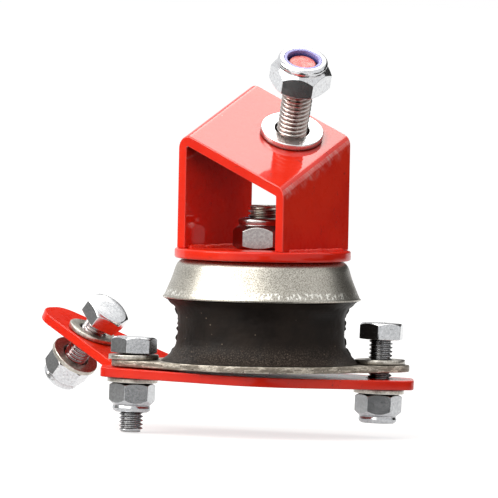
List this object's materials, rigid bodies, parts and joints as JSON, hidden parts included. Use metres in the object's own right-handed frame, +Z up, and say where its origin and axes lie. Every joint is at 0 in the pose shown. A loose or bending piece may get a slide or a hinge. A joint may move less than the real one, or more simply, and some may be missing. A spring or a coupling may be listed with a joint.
{
  "type": "engine mount",
  "caption": "Bonded rubber cup mount on a folded lower plate with a raised ear, under a sloping sheet bracket with an upright bolt and loose locking nuts.",
  "frame": {"origin": "on the rubber mount's axis, at the underside of the oval base flange", "axes": "+X across the bracket's channel, from the high wall to the low wall; +Y along the channel, away from its low open front; +Z up the mount's axis"},
  "size_m": [0.1268, 0.0695, 0.1236],
  "materials": {
    "red_paint": "glossy red paint over folded steel, chipped along its edges",
    "bright_zinc": "bright zinc plating on bolts and nuts",
    "dull_zinc": "dull warm zinc on washers, flange and stud",
    "cup_steel": "fine-grained dull plated pressing",
    "black_rubber": "moulded brown-black rubber",
    "blue_nylon": "blue-violet nylon locking ring"
  },
  "bodies": {
    "base": {"base_flange": "dull_zinc", "lower_plate": "red_paint", "rubber_block": "black_rubber", "left_bolt": "bright_zinc", "left_head_washer": "dull_zinc", "left_nut_washer": "dull_zinc", "left_nut": "bright_zinc", "left_nut_ring": "blue_nylon", "right_head_washer": "dull_zinc", "ear_head_washer": "dull_zinc"},
    "bracket": {"mount_cup": "cup_steel", "centre_stud": "dull_zinc", "stud_nut": "bright_zinc", "stud_nut_ring": "blue_nylon", "bracket_disc": "red_paint", "bracket_channel": "red_paint", "inner_weld": "red_paint", "outer_weld": "red_paint", "top_bolt": "bright_zinc", "top_washer": "bright_zinc"},
    "right_fastener": {"right_bolt": "bright_zinc", "right_nut_washer": "dull_zinc", "right_nut": "bright_zinc", "right_nut_ring": "blue_nylon"},
    "ear_fastener": {"ear_bolt": "bright_zinc", "ear_nut_washer": "dull_zinc", "ear_nut": "bright_zinc", "ear_nut_ring": "blue_nylon"},
    "top_locking_nut": {"top_nut": "bright_zinc", "top_nut_ring": "blue_nylon"}
  },
  "joints": [
    {"name": "rubber_flex", "type": "slide", "parent": "base", "child": "bracket", "axis": [0, 0, 1], "range_m": [-0.004, 0.001], "stiffness_N_per_m": 150000, "deforming": ["rubber_block"]},
    {"name": "right_bolt_travel", "type": "slide", "parent": "base", "child": "right_fastener", "axis": [0.0205, 0.0133, 0.9997], "range_m": [-0.006, 0]},
    {"name": "ear_bolt_travel", "type": "slide", "parent": "base", "child": "ear_fastener", "axis": [0.6803, -0.1227, 0.7226], "range_m": [-0.002, 0.003]},
    {"name": "top_nut_travel", "type": "slide", "parent": "bracket", "child": "top_locking_nut", "axis": [0.373, -0.361, 0.8547], "range_m": [-0.016, 0.006]}
  ]
}
